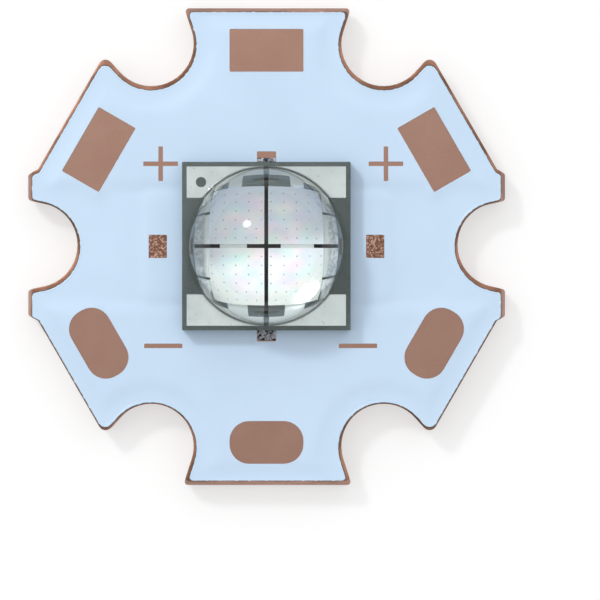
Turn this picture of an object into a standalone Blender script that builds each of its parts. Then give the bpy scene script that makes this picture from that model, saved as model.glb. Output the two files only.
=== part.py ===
"""Star-shaped copper-core circuit board that carries a domed four-chip power LED.

Units are metres and +Z is up. The origin is the centre of the board's underside, +Y is
the side of the positive pads, and the layers are stacked upwards face to face.
"""

import math

import bmesh
import bpy
from mathutils import Matrix, Vector

MM = 0.001

# Board outline, seen from above
SCORED_HALF_WIDTH = 10.0 * MM  # V-scored edges: front, back, left and right
SLANT_INSET = 0.1 * MM  # four punched slanted edges, inside the scored distance
NOTCH_CENTRE_INSET = 0.28 * MM  # six screw notches, one on each corner of the hexagon
NOTCH_RADIUS = 1.77 * MM
NOTCH_FLARE = math.radians(12)  # each notch wall opens outwards by this angle
EAR_RISE = 0.5 * MM  # the ears beside the left and right notches stand this far past the slants
EAR_SHOULDER_NORMAL = math.radians(65)
TIP_RADIUS = 0.3 * MM
SCORED_CORNER_RADIUS = 0.14 * MM
EAR_ROOT_RADIUS = 0.15 * MM
OUTLINE_OFFSET = 0.04 * MM  # the slants and notches sit this far right of the pads
PUNCH_OFFSET = 0.065 * MM  # and their punched edges this far towards +Y of the mask
SCORE_WIDTH = 0.20 * MM  # width and depth of each V-score flank, top and bottom
SCORE_DEPTH = 0.45 * MM
ROLLOVER = 0.04 * MM  # rounded top edge that the punch leaves

# Layers of the board
CORE_THICKNESS = 1.40 * MM
DIELECTRIC_THICKNESS = 0.10 * MM
FOIL_THICKNESS = 0.07 * MM
MASK_THICKNESS = 0.03 * MM
DIELECTRIC_SETBACK = 0.035 * MM  # from the rolled edge of the core
MASK_SETBACK = 0.03 * MM  # from the edge of the dielectric
NOTCH_LAMINATE_SETBACK = 0.03 * MM  # more of it round the notches
FOIL_SETBACK = 0.84 * MM  # from the board's edge
FOIL_NOTCH_CLEARANCE = 0.95 * MM
MASK_RISER = 0.05 * MM  # mask on the flank of each foil
PEDESTAL_OVERHANG = 1.55 * MM  # raised part of the core, past each side of the LED
PEDESTAL_CORNER_RADIUS = 0.35 * MM
PEDESTAL_CLEARANCE = 0.02 * MM
FOIL_PEDESTAL_GAP = 0.44 * MM

# Openings in the mask
PAD_LENGTH = 3.09 * MM
PAD_WIDTH = 1.79 * MM
PAD_MARGIN = 0.075 * MM  # foil round each pad, under the mask
PAD_ETCH = 0.005 * MM  # the bare pads are cleaned by a light etch
POSITIVE_PAD_RADIUS = 0.04 * MM
NEGATIVE_PAD_RADIUS = 0.82 * MM
PLUS_ROW_DISTANCE = 3.45 * MM  # mark centres, from the board's centre lines
MINUS_ROW_DISTANCE = 4.155 * MM
LEFT_PLUS_DISTANCE = 4.42 * MM
RIGHT_PLUS_DISTANCE = 4.99 * MM
LEFT_MINUS_DISTANCE = 4.31 * MM
RIGHT_MINUS_DISTANCE = 3.82 * MM
PLUS_LENGTH = 1.45 * MM
MINUS_LENGTH = 1.6 * MM
MARK_STROKE = 0.19 * MM
PEDESTAL_WINDOW_SIZE = (0.76 * MM, 0.97 * MM)
PEDESTAL_WINDOW_MARGIN = 0.13 * MM  # from the pedestal's end
SOLDER_OPENING_MARGIN = 0.04 * MM
TAB_HALF_WIDTH = 0.40 * MM
TAB_REACH = 0.47 * MM  # how far each solder tab shows beyond the LED

# LED package
PACKAGE_SIZE = 7.0 * MM
CERAMIC_THICKNESS = 0.75 * MM
CERAMIC_EDGE = 0.03 * MM
CONTACT_THICKNESS = 0.05 * MM
CONTACT_EDGE = 0.15 * MM  # contacts stay this far inside the package edge
CONTACT_WIDTH = 0.65 * MM  # anode and cathode contacts
THERMAL_CONTACT_INSET = 0.1 * MM  # from the long edges of the pedestal
SOLDER_THICKNESS = 0.05 * MM
SOLDER_SPREAD = 0.02 * MM
LAND_THICKNESS = 0.04 * MM
LAND_BORDER = 0.195 * MM
LAND_SPLIT = 0.18 * MM  # gap between the left and right corner lands
LAND_HALF_LENGTH = 2.27 * MM  # reach of the lands beside the chips
LAND_SLIT = 0.08 * MM
LAND_MIDDLE_HALF_HEIGHT = 0.94 * MM
LAND_STEP = 0.21 * MM  # bare ceramic between a chip land and its corner land
WINDOW_DEPTH = 0.42 * MM
UPPER_WINDOW_HALF_WIDTH = 0.73 * MM
UPPER_NECK = 0.43 * MM
LOWER_WINDOW_HALF_WIDTH = 0.56 * MM
LOWER_NECK = 0.64 * MM
LEFT_BRIDGE = (0.55 * MM, 1.33 * MM)
RIGHT_BRIDGE = (0.41 * MM, 1.37 * MM)
DOT_RADIUS = 0.215 * MM
DOT_INSET = 0.595 * MM  # polarity dot from the side of the upper left land
CHIP_SIZE = (1.66 * MM, 1.74 * MM)
CHIP_GAP = 0.115 * MM
CHIP_THICKNESS = 0.13 * MM
FILM_THICKNESS = 0.10 * MM
DOME_MARGIN = 0.25 * MM  # dome base from the package edge
DOME_FILLET = 0.14 * MM
FILM_INSET = 0.01 * MM

# Facets
NOTCH_STEPS = 20
CORNER_STEPS = 4
PAD_STEPS = 8
DOT_STEPS = 24
ROLLOVER_STEPS = 3
DOME_SIDES = 64
DOME_RINGS = 16
FILLET_RINGS = 4

# Heights of the faces where the layers meet
DIELECTRIC_BOTTOM = CORE_THICKNESS
DIELECTRIC_TOP = DIELECTRIC_BOTTOM + DIELECTRIC_THICKNESS
FOIL_TOP = DIELECTRIC_TOP + FOIL_THICKNESS
CONTACT_BOTTOM = FOIL_TOP + SOLDER_THICKNESS
CERAMIC_BOTTOM = CONTACT_BOTTOM + CONTACT_THICKNESS
CERAMIC_TOP = CERAMIC_BOTTOM + CERAMIC_THICKNESS
LAND_TOP = CERAMIC_TOP + LAND_THICKNESS
CHIP_TOP = LAND_TOP + CHIP_THICKNESS
FILM_TOP = CERAMIC_TOP + FILM_THICKNESS

# Board layout, worked out from the scored edges
SLANT_DISTANCE = SCORED_HALF_WIDTH - SLANT_INSET
SLANT_NORMAL = math.radians(30)
NOTCH_CENTRE_DISTANCE = SCORED_HALF_WIDTH - NOTCH_CENTRE_INSET
EAR_HALF_HEIGHT = EAR_RISE + ((SLANT_DISTANCE - SCORED_HALF_WIDTH * math.cos(SLANT_NORMAL))
                              / math.sin(SLANT_NORMAL))
PAD_SETBACK = FOIL_SETBACK + PAD_MARGIN + PAD_WIDTH / 2
LAMINATE_SHIFT = Vector((OUTLINE_OFFSET, 0.0))
PUNCH_SHIFT = Vector((OUTLINE_OFFSET, PUNCH_OFFSET))

# Package layout, worked out from the chips and the package edge
PACKAGE_HALF = PACKAGE_SIZE / 2
CHIP_FIELD_HALF_HEIGHT = CHIP_GAP / 2 + CHIP_SIZE[1]
CORNER_LAND_INNER = CHIP_FIELD_HALF_HEIGHT + LAND_STEP
LAND_OUTER = PACKAGE_HALF - LAND_BORDER
DOME_RADIUS = PACKAGE_HALF - DOME_MARGIN
CONTACT_OUTER = PACKAGE_HALF - CONTACT_EDGE
CONTACT_INNER = CONTACT_OUTER - CONTACT_WIDTH

# Board layout under the package, worked out from its contacts
OPENING_MARGIN = SOLDER_SPREAD + SOLDER_OPENING_MARGIN
FOIL_INNER_EDGE = CONTACT_INNER - OPENING_MARGIN
PEDESTAL_LENGTH = PACKAGE_SIZE + 2 * PEDESTAL_OVERHANG
PEDESTAL_WIDTH = 2 * (FOIL_INNER_EDGE - FOIL_PEDESTAL_GAP)
PEDESTAL_WINDOW_DISTANCE = (PEDESTAL_LENGTH / 2 - PEDESTAL_WINDOW_MARGIN
                            - PEDESTAL_WINDOW_SIZE[0] / 2)
THERMAL_CONTACT_WIDTH = PEDESTAL_WIDTH - 2 * THERMAL_CONTACT_INSET

SIDES = {"left": -1, "right": 1}
LEVELS = {"upper": 1, "lower": -1}


# Plane geometry

def direction(angle):
    """Unit vector at an angle from +X."""
    return Vector((math.cos(angle), math.sin(angle)))


def meet(line_a, line_b):
    """Point where two lines cross; a line is its normal's angle and its distance."""
    (angle_a, distance_a), (angle_b, distance_b) = line_a, line_b
    normal_a, normal_b = direction(angle_a), direction(angle_b)
    cross = normal_a.x * normal_b.y - normal_a.y * normal_b.x
    x = (distance_a * normal_b.y - distance_b * normal_a.y) / cross
    y = (distance_b * normal_a.x - distance_a * normal_b.x) / cross
    return Vector((x, y))


def arc(centre, radius, start, end, steps):
    """Points from one angle to another on a circle, both ends included."""
    return [centre + radius * direction(start + (end - start) * i / steps)
            for i in range(steps + 1)]


def rounded(corners):
    """Closed outline through corners (point, radius, steps), each one an arc."""
    outline = []
    for i, (point, radius, steps) in enumerate(corners):
        back = (corners[i - 1][0] - point).normalized()
        ahead = (corners[(i + 1) % len(corners)][0] - point).normalized()
        half_angle = back.angle(ahead) / 2
        centre = point + (back + ahead).normalized() * radius / math.sin(half_angle)
        reach = radius / math.tan(half_angle)
        first = point + back * reach - centre
        last = point + ahead * reach - centre
        turn = first.angle_signed(last)
        start = math.atan2(first.y, first.x)
        outline += arc(centre, radius, start, start - turn, steps)
    return outline


def rectangle(centre, size, radius=0.0, angle=0.0, steps=CORNER_STEPS):
    """Outline of a rectangle, turned by an angle, with rounded or square corners."""
    half_x, half_y = size[0] / 2, size[1] / 2
    corners = [Vector(c) for c in
               ((-half_x, -half_y), (half_x, -half_y), (half_x, half_y), (-half_x, half_y))]
    outline = rounded([(c, radius, steps) for c in corners]) if radius else corners
    turn = Matrix.Rotation(angle, 2)
    return [centre + turn @ point for point in outline]


def box_outline(x_range, y_range):
    """Rectangle between two X and two Y values."""
    (x0, x1), (y0, y1) = x_range, y_range
    return [Vector(p) for p in ((x0, y0), (x1, y0), (x1, y1), (x0, y1))]


def mirrored(outline, side_x, side_y):
    """Outline mirrored into another quadrant, still running anticlockwise."""
    points = [Vector((p.x * side_x, p.y * side_y)) for p in outline]
    return points if side_x * side_y > 0 else points[::-1]


# Board outlines

def star_outline(score_inset, punch_inset, shift, notch_growth=0.0):
    """Star outline: scored flats, punched slants, ears and six flared notches."""
    notch_radius = NOTCH_RADIUS + punch_inset + notch_growth

    def punched(kind, angle, distance):
        return kind, angle, distance + direction(angle).dot(shift)

    def scored(angle):
        return "score", angle, SCORED_HALF_WIDTH - score_inset

    def slant(angle):
        return punched("slant", angle, SLANT_DISTANCE - punch_inset)

    def wall(angle, side):
        distance = notch_radius - NOTCH_CENTRE_DISTANCE * math.sin(NOTCH_FLARE)
        return punched("notch", angle + side * (math.pi / 2 + NOTCH_FLARE), distance)

    def shoulder(side_x, side_y):
        ear = Vector((SCORED_HALF_WIDTH, EAR_HALF_HEIGHT))
        distance = direction(EAR_SHOULDER_NORMAL).dot(ear) - punch_inset
        normal = direction(EAR_SHOULDER_NORMAL)
        angle = math.atan2(normal.y * side_y, normal.x * side_x)
        return punched("shoulder", angle, distance)

    def quarter(side_x, side_y):
        """Lines from the scored ear to the scored flat of one quadrant."""
        def turned(angle):
            heading = direction(angle)
            return math.atan2(heading.y * side_y, heading.x * side_x)
        hand = side_x * side_y
        return [wall(turned(0), hand), scored(turned(0)), shoulder(side_x, side_y),
                slant(turned(SLANT_NORMAL)), wall(turned(math.radians(60)), -hand),
                wall(turned(math.radians(60)), hand)]

    lines = (quarter(1, 1) + [scored(math.pi / 2)] + quarter(-1, 1)[::-1]
             + quarter(-1, -1) + [scored(-math.pi / 2)] + quarter(1, -1)[::-1])
    roundings = {frozenset(("notch",)): (notch_radius, NOTCH_STEPS),
                 frozenset(("notch", "score")): (SCORED_CORNER_RADIUS, CORNER_STEPS),
                 frozenset(("score", "shoulder")): (SCORED_CORNER_RADIUS, CORNER_STEPS),
                 frozenset(("shoulder", "slant")): (EAR_ROOT_RADIUS, CORNER_STEPS),
                 frozenset(("slant", "notch")): (TIP_RADIUS, CORNER_STEPS)}
    corners = []
    for line_a, line_b in zip(lines, lines[1:] + lines[:1]):
        radius, steps = roundings[frozenset((line_a[0], line_b[0]))]
        corners.append((meet(line_a[1:], line_b[1:]), radius, steps))
    return rounded(corners)


def foil_outline(level, grow=0.0):
    """Copper island of one polarity: follows the edge and clears the screw notches."""
    slant = (SLANT_NORMAL, SLANT_DISTANCE - FOIL_SETBACK + grow)
    flat = (math.pi / 2, SCORED_HALF_WIDTH - FOIL_SETBACK + grow)
    inner = (math.pi / 2, FOIL_INNER_EDGE - grow)
    centre = NOTCH_CENTRE_DISTANCE * direction(math.radians(60))
    radius = NOTCH_RADIUS + FOIL_NOTCH_CLEARANCE - grow

    def crossing(line, side):
        """Angle on the clearance circle where a line enters (-1) or leaves it (1)."""
        offset = line[1] - direction(line[0]).dot(centre)
        return line[0] + side * math.acos(offset / radius)

    start = crossing(slant, -1)
    end = crossing(flat, 1) - 2 * math.pi
    right = [meet(slant, inner)] + arc(centre, radius, start, end, NOTCH_STEPS)
    left = [Vector((-p.x, p.y)) for p in reversed(right)]
    return mirrored(right + left, 1, level)


def pedestal_outline(grow=0.0):
    """Raised thermal pedestal of the core, under the LED."""
    size = (PEDESTAL_LENGTH + 2 * grow, PEDESTAL_WIDTH + 2 * grow)
    return rectangle(Vector((0, 0)), size, PEDESTAL_CORNER_RADIUS + grow)


def plus_outline(x):
    """Plus sign of a positive pad."""
    reach, half = PLUS_LENGTH / 2, MARK_STROKE / 2
    arm = [Vector((half, half)), Vector((half, reach)), Vector((-half, reach))]
    return [Vector((x, PLUS_ROW_DISTANCE)) + Matrix.Rotation(turn * math.pi / 2, 2) @ point
            for turn in range(4) for point in arm]


def minus_outline(x):
    """Minus stroke of a negative pad."""
    return rectangle(Vector((x, -MINUS_ROW_DISTANCE)), (MINUS_LENGTH, MARK_STROKE))


def pad_outlines(level, grow=0.0):
    """Three wire pads: square-cornered on the positive side, rounded on the negative."""
    radius = grow + (POSITIVE_PAD_RADIUS if level > 0 else NEGATIVE_PAD_RADIUS)
    size = (PAD_LENGTH + 2 * grow, PAD_WIDTH + 2 * grow)
    pads = []
    for degrees in (30, 90, 150):
        angle = math.radians(level * degrees)
        edge = SCORED_HALF_WIDTH if degrees == 90 else SLANT_DISTANCE
        pads.append(rectangle((edge - PAD_SETBACK) * direction(angle), size, radius,
                              angle - math.pi / 2, PAD_STEPS))
    return pads


# Package outlines

def contact_outline(level, spread=0.0):
    """Anode (1), thermal (0) or cathode (-1) contact under the package."""
    x_range = (-CONTACT_OUTER - spread, CONTACT_OUTER + spread)
    if level == 0:
        half = THERMAL_CONTACT_WIDTH / 2 + spread
        return box_outline(x_range, (-half, half))
    outline = box_outline(x_range, (CONTACT_INNER - spread, CONTACT_OUTER + spread))
    return mirrored(outline, 1, level)


def corner_land_outline(side_x, level):
    """Land of one corner: corner plate, neck and the land under the chip's outer half."""
    upper = level > 0
    window = UPPER_WINDOW_HALF_WIDTH if upper else LOWER_WINDOW_HALF_WIDTH
    neck = window + (UPPER_NECK if upper else LOWER_NECK)
    inner = CHIP_GAP / 2
    bottom = LAND_MIDDLE_HALF_HEIGHT + LAND_SLIT
    top = CHIP_FIELD_HALF_HEIGHT
    points = ((inner, bottom), (LAND_HALF_LENGTH, bottom), (LAND_HALF_LENGTH, top),
              (neck, top), (neck, CORNER_LAND_INNER), (LAND_OUTER, CORNER_LAND_INNER),
              (LAND_OUTER, LAND_OUTER), (LAND_SPLIT / 2, LAND_OUTER),
              (LAND_SPLIT / 2, top + WINDOW_DEPTH), (window, top + WINDOW_DEPTH),
              (window, top), (inner, top))
    return mirrored([Vector(p) for p in points], side_x, level)


def middle_land_outline(side_x, bridge):
    """Land that joins the upper and lower chip of one side through a bridge."""
    inner, outer = CHIP_GAP / 2, LAND_HALF_LENGTH
    gap, height = CHIP_GAP / 2, LAND_MIDDLE_HALF_HEIGHT
    points = ((inner, -height), (outer, -height), (outer, -gap), (bridge[1], -gap),
              (bridge[1], gap), (outer, gap), (outer, height), (inner, height),
              (inner, gap), (bridge[0], gap), (bridge[0], -gap), (inner, -gap))
    return mirrored([Vector(p) for p in points], side_x, 1)


def chip_outline(side_x, level):
    """One of the four chips."""
    inner = CHIP_GAP / 2
    outline = box_outline((inner, inner + CHIP_SIZE[0]), (inner, inner + CHIP_SIZE[1]))
    return mirrored(outline, side_x, level)


# Solids

def loft(mesh, loops):
    """Closed solid through loops (outline, height) from the bottom up; gives its top face."""
    rings = [[mesh.verts.new((p.x, p.y, z)) for p in outline] for outline, z in loops]
    mesh.faces.new(rings[0][::-1])
    top = mesh.faces.new(rings[-1])
    for lower, upper in zip(rings, rings[1:]):
        for i in range(len(lower)):
            j = (i + 1) % len(lower)
            mesh.faces.new((lower[i], lower[j], upper[j], upper[i]))
    return top


def finished(name, mesh, parent, material, sharp_angle=math.radians(30)):
    """Object made from a finished bmesh, shaded smooth up to its sharp edges."""
    data = bpy.data.meshes.new(name)
    mesh.to_mesh(data)
    mesh.free()
    data.shade_smooth()
    data.set_sharp_from_angle(angle=sharp_angle)
    piece = bpy.data.objects.new(name, data)
    bpy.context.scene.collection.objects.link(piece)
    piece.parent = parent
    if material:
        data.materials.append(material)
    return piece


def prisms(name, parent, material, parts):
    """Object made of straight prisms (outline, bottom, top)."""
    mesh = bmesh.new()
    for outline, bottom, top in parts:
        loft(mesh, [(outline, bottom), (outline, top)])
    return finished(name, mesh, parent, material)


def use_tool(target, operation, tool):
    """Boolean of the target with a helper solid, which is hidden."""
    tool.hide_render = True
    tool.display_type = "WIRE"
    modifier = target.modifiers.new(tool.name, "BOOLEAN")
    modifier.operation = operation
    modifier.solver = "EXACT"
    modifier.object = tool


def combine(target, operation, name, parent, parts):
    """Boolean of the target with hidden prisms."""
    use_tool(target, operation, prisms(name, parent, None, parts))


def srgb(value):
    """Linear value of one sRGB channel from 0 to 255."""
    value /= 255
    return value / 12.92 if value <= 0.04045 else ((value + 0.055) / 1.055) ** 2.4


def finish(name, colour, roughness, metallic=0.0):
    """Material with the piece's colour, roughness and metallic value."""
    material = bpy.data.materials.new(name)
    material.use_nodes = True
    shader = material.node_tree.nodes["Principled BSDF"]
    shader.inputs["Base Color"].default_value = (*(srgb(c) for c in colour), 1)
    shader.inputs["Roughness"].default_value = roughness
    shader.inputs["Metallic"].default_value = metallic
    return material


# Pieces

def make_core(parent, material):
    """Copper base: scored and punched edges, rolled top rim and the raised pedestal."""
    def level(height):
        """Outline of the base at one height, with its scored and rolled insets."""
        edge_distance = min(height, CORE_THICKNESS - height)
        score = SCORE_WIDTH * max(0.0, 1 - edge_distance / SCORE_DEPTH)
        rise = max(0.0, height - (CORE_THICKNESS - ROLLOVER)) / ROLLOVER
        roll = ROLLOVER * (1 - math.sqrt(max(0.0, 1 - rise * rise)))
        return star_outline(score, roll, PUNCH_SHIFT), height

    heights = [0.0, SCORE_DEPTH, CORE_THICKNESS - SCORE_DEPTH]
    for step in range(ROLLOVER_STEPS + 1):
        rise = math.sin(math.pi / 2 * step / ROLLOVER_STEPS)
        heights.append(CORE_THICKNESS - ROLLOVER + ROLLOVER * rise)
    mesh = bmesh.new()
    loft(mesh, [level(height) for height in heights])
    core = finished("copper_core", mesh, parent, material)
    combine(core, "UNION", "pedestal_block", parent,
            [(pedestal_outline(), CORE_THICKNESS / 2, FOIL_TOP)])


def make_laminate(parent, materials):
    """Dielectric, the two copper islands and the solder mask with its openings."""
    inset = ROLLOVER + DIELECTRIC_SETBACK
    dielectric = prisms("dielectric_layer", parent, materials["dielectric"],
                        [(star_outline(SCORE_WIDTH, inset, LAMINATE_SHIFT, NOTCH_LAMINATE_SETBACK),
                          DIELECTRIC_BOTTOM, DIELECTRIC_TOP)])
    well = pedestal_outline(PEDESTAL_CLEARANCE)
    combine(dielectric, "DIFFERENCE", "dielectric_well", parent,
            [(well, CORE_THICKNESS / 2, FOIL_TOP)])

    for name, level in (("anode_foil", 1), ("cathode_foil", -1)):
        foil = prisms(name, parent, materials["foil"],
                      [(foil_outline(level), DIELECTRIC_TOP, FOIL_TOP)])
        combine(foil, "UNION", name + "_pad_flanges", parent,
                [(outline, DIELECTRIC_TOP, FOIL_TOP)
                 for outline in pad_outlines(level, PAD_MARGIN)])
        combine(foil, "DIFFERENCE", name + "_pad_etching", parent,
                [(outline, FOIL_TOP - PAD_ETCH, CERAMIC_TOP) for outline in pad_outlines(level)])

    mask_bottom, mask_top = DIELECTRIC_TOP, FOIL_TOP + MASK_THICKNESS
    mask_outline = star_outline(SCORE_WIDTH + MASK_SETBACK / 2, inset + MASK_SETBACK,
                                LAMINATE_SHIFT, NOTCH_LAMINATE_SETBACK)
    mask = prisms("solder_mask", parent, materials["mask"],
                  [(mask_outline, mask_bottom, mask_bottom + MASK_THICKNESS)])
    raised_pads = PAD_MARGIN + MASK_RISER
    risers = {
        "mask_risers": [foil_outline(1, MASK_RISER), foil_outline(-1, MASK_RISER),
                        pedestal_outline(PEDESTAL_CLEARANCE + MASK_RISER)],
        "mask_pad_risers": pad_outlines(1, raised_pads) + pad_outlines(-1, raised_pads),
    }
    for riser, outlines in risers.items():
        combine(mask, "UNION", riser, parent,
                [(outline, mask_bottom + MASK_THICKNESS / 2, mask_top) for outline in outlines])
    seats = {
        "mask_seats": [foil_outline(1), foil_outline(-1), well],
        "mask_pad_seats": pad_outlines(1, PAD_MARGIN) + pad_outlines(-1, PAD_MARGIN),
    }
    for seat, outlines in seats.items():
        combine(mask, "DIFFERENCE", seat, parent,
                [(outline, CORE_THICKNESS / 2, FOIL_TOP) for outline in outlines])
    for opening, outlines in mask_openings().items():
        combine(mask, "DIFFERENCE", opening, parent,
                [(outline, CORE_THICKNESS / 2, CERAMIC_TOP) for outline in outlines])


def mask_openings():
    """Outlines of the openings in the solder mask, by kind."""
    return {
        "pad_openings": pad_outlines(1) + pad_outlines(-1),
        "mark_openings": [plus_outline(-LEFT_PLUS_DISTANCE), plus_outline(RIGHT_PLUS_DISTANCE),
                          minus_outline(-LEFT_MINUS_DISTANCE), minus_outline(RIGHT_MINUS_DISTANCE)],
        "pedestal_windows": [rectangle(Vector((side * PEDESTAL_WINDOW_DISTANCE, 0)),
                                       PEDESTAL_WINDOW_SIZE) for side in SIDES.values()],
        "solder_openings": [solder_opening(1), contact_outline(0, OPENING_MARGIN),
                            solder_opening(-1)],
    }


def solder_opening(level):
    """Opening over the anode or cathode contact, with the tab beyond the LED."""
    near, far = CONTACT_INNER - OPENING_MARGIN, CONTACT_OUTER + OPENING_MARGIN
    tip = PACKAGE_HALF + TAB_REACH
    right = [Vector(p) for p in ((far, near), (far, far), (TAB_HALF_WIDTH, far),
                                 (TAB_HALF_WIDTH, tip))]
    left = [Vector((-p.x, p.y)) for p in reversed(right)]
    return mirrored(right + left, 1, level)


def make_solder(parent, material):
    """Three solder joints; the anode and cathode joints run out into their tabs."""
    def sheet(level):
        """Joint between the foil or pedestal and one contact, a little wider below."""
        return [(contact_outline(level, SOLDER_SPREAD), FOIL_TOP),
                (contact_outline(level), CONTACT_BOTTOM)]

    def tongue(mesh, level, reach, crown):
        """Solder running out from the joint in a tab, with a rounded back."""
        steps = 6
        start = CONTACT_OUTER - SOLDER_SPREAD
        half = TAB_HALF_WIDTH - SOLDER_SPREAD
        section = [(start, FOIL_TOP), (start + reach, FOIL_TOP)]
        for i in range(1, steps + 1):
            swing = math.pi / 2 * i / steps
            section.append((start + reach * math.cos(swing), FOIL_TOP + crown * math.sin(swing)))
        rings = [[mesh.verts.new((x, level * y, z)) for y, z in section] for x in (-half, half)]
        faces = [mesh.faces.new(rings[0][::level]), mesh.faces.new(rings[1][::-level])]
        for i in range(len(section)):
            j = (i + 1) % len(section)
            quad = (rings[0][i], rings[1][i], rings[1][j], rings[0][j])
            faces.append(mesh.faces.new(quad[::level]))
        bmesh.ops.recalc_face_normals(mesh, faces=faces)

    reach = PACKAGE_HALF + TAB_REACH - CONTACT_OUTER
    runs = {"anode_solder": (1, 0.6 * reach, 0.8 * SOLDER_THICKNESS),
            "cathode_solder": (-1, 0.97 * reach, 1.8 * SOLDER_THICKNESS)}
    for name, (level, run, crown) in runs.items():
        mesh = bmesh.new()
        loft(mesh, sheet(level))
        joint = finished(name, mesh, parent, material)
        mesh = bmesh.new()
        tongue(mesh, level, run, crown)
        use_tool(joint, "UNION", finished(name + "_tongue", mesh, parent, None))
    mesh = bmesh.new()
    loft(mesh, sheet(0))
    finished("thermal_solder", mesh, parent, material)


def make_package(parent, materials):
    """Contacts, ceramic substrate, lands and chips of the LED."""
    for name, level in (("anode_contact", 1), ("thermal_contact", 0), ("cathode_contact", -1)):
        prisms(name, parent, materials["contact"],
               [(contact_outline(level), CONTACT_BOTTOM, CERAMIC_BOTTOM)])

    outline = rectangle(Vector((0, 0)), (PACKAGE_SIZE, PACKAGE_SIZE), CERAMIC_EDGE, steps=2)
    prisms("ceramic_substrate", parent, materials["ceramic"],
           [(outline, CERAMIC_BOTTOM, CERAMIC_TOP)])

    for name, kind, outline, bottom, top in land_and_chip_parts():
        piece = prisms(name, parent, materials[kind], [(outline, bottom, top)])
        if name == "upper_left_land":
            dot = Vector((DOT_INSET - LAND_OUTER, (CORNER_LAND_INNER + LAND_OUTER) / 2))
            circle = arc(dot, DOT_RADIUS, 0.0, 2 * math.pi, DOT_STEPS)[:-1]
            combine(piece, "DIFFERENCE", "polarity_dot", parent,
                    [(circle, CERAMIC_BOTTOM, FILM_TOP)])


def land_and_chip_parts():
    """Name, kind, outline and heights of the six lands and the four chips."""
    parts = []
    bridges = {"left": LEFT_BRIDGE, "right": RIGHT_BRIDGE}
    for side, side_x in SIDES.items():
        parts.append((f"middle_{side}_land", "land", middle_land_outline(side_x, bridges[side]),
                      CERAMIC_TOP, LAND_TOP))
        for place, level in LEVELS.items():
            parts.append((f"{place}_{side}_land", "land", corner_land_outline(side_x, level),
                          CERAMIC_TOP, LAND_TOP))
            parts.append((f"led_chip_{place}_{side}", "chip", chip_outline(side_x, level),
                          LAND_TOP, CHIP_TOP))
    return parts


def make_lens(parent, material):
    """Silicone dome on a square film, moulded round the lands and the chips."""
    def circle(radius):
        return arc(Vector((0, 0)), radius, 0.0, 2 * math.pi, DOME_SIDES)[:-1]

    half = PACKAGE_HALF - FILM_INSET
    square = [p * half / max(abs(p.x), abs(p.y)) for p in circle(1.0)]
    loops = [(square, CERAMIC_TOP), (square, FILM_TOP)]
    tangent = math.asin(DOME_FILLET / (DOME_RADIUS + DOME_FILLET))
    fillet_centre = (DOME_RADIUS + DOME_FILLET) * math.cos(tangent)
    for i in range(FILLET_RINGS):
        swing = (math.pi / 2 - tangent) * i / FILLET_RINGS
        loops.append((circle(fillet_centre - DOME_FILLET * math.sin(swing)),
                      FILM_TOP + DOME_FILLET * (1 - math.cos(swing))))
    for i in range(DOME_RINGS):
        rise = tangent + (math.pi / 2 - tangent) * i / DOME_RINGS
        loops.append((circle(DOME_RADIUS * math.cos(rise)), FILM_TOP + DOME_RADIUS * math.sin(rise)))
    mesh = bmesh.new()
    cap = loft(mesh, loops)
    crown = bmesh.ops.poke(mesh, faces=[cap])["verts"][0]
    crown.co.z = FILM_TOP + DOME_RADIUS
    lens = finished("silicone_lens", mesh, parent, material)

    lands, chips = [], []
    for name, kind, outline, bottom, top in land_and_chip_parts():
        if kind == "land":
            lands.append((outline, CERAMIC_BOTTOM, top))
        else:
            chips.append((outline, bottom, top))
    combine(lens, "DIFFERENCE", "land_recesses", parent, lands)
    combine(lens, "DIFFERENCE", "chip_recesses", parent, chips)


def main():
    for old in list(bpy.data.objects):
        bpy.data.objects.remove(old, do_unlink=True)
    board = bpy.data.objects.new("board_origin", None)
    bpy.context.scene.collection.objects.link(board)

    materials = {
        "copper": finish("punched_copper", (184, 140, 118), 0.38, 1.0),
        "dielectric": finish("filled_epoxy_dielectric", (98, 92, 84), 0.6),
        "foil": finish("bare_copper_foil", (172, 136, 120), 0.45, 1.0),
        "mask": finish("white_solder_mask", (204, 225, 245), 0.35),
        "solder": finish("reflowed_solder", (176, 178, 180), 0.3, 1.0),
        "contact": finish("plated_contact", (214, 196, 150), 0.3, 1.0),
        "ceramic": finish("aluminium_nitride_ceramic", (92, 106, 100), 0.5),
        "land": finish("silver_plated_land", (214, 221, 217), 0.35, 1.0),
        "chip": finish("thin_film_chip", (214, 222, 232), 0.12, 1.0),
        "silicone": finish("clear_silicone", (240, 244, 244), 0.05),
    }
    make_core(board, materials["copper"])
    make_laminate(board, materials)
    make_solder(board, materials["solder"])
    make_package(board, materials)
    make_lens(board, materials["silicone"])


main()
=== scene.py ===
import math

import bpy
import numpy as np
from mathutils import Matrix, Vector
from mathutils.geometry import delaunay_2d_cdt


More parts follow.
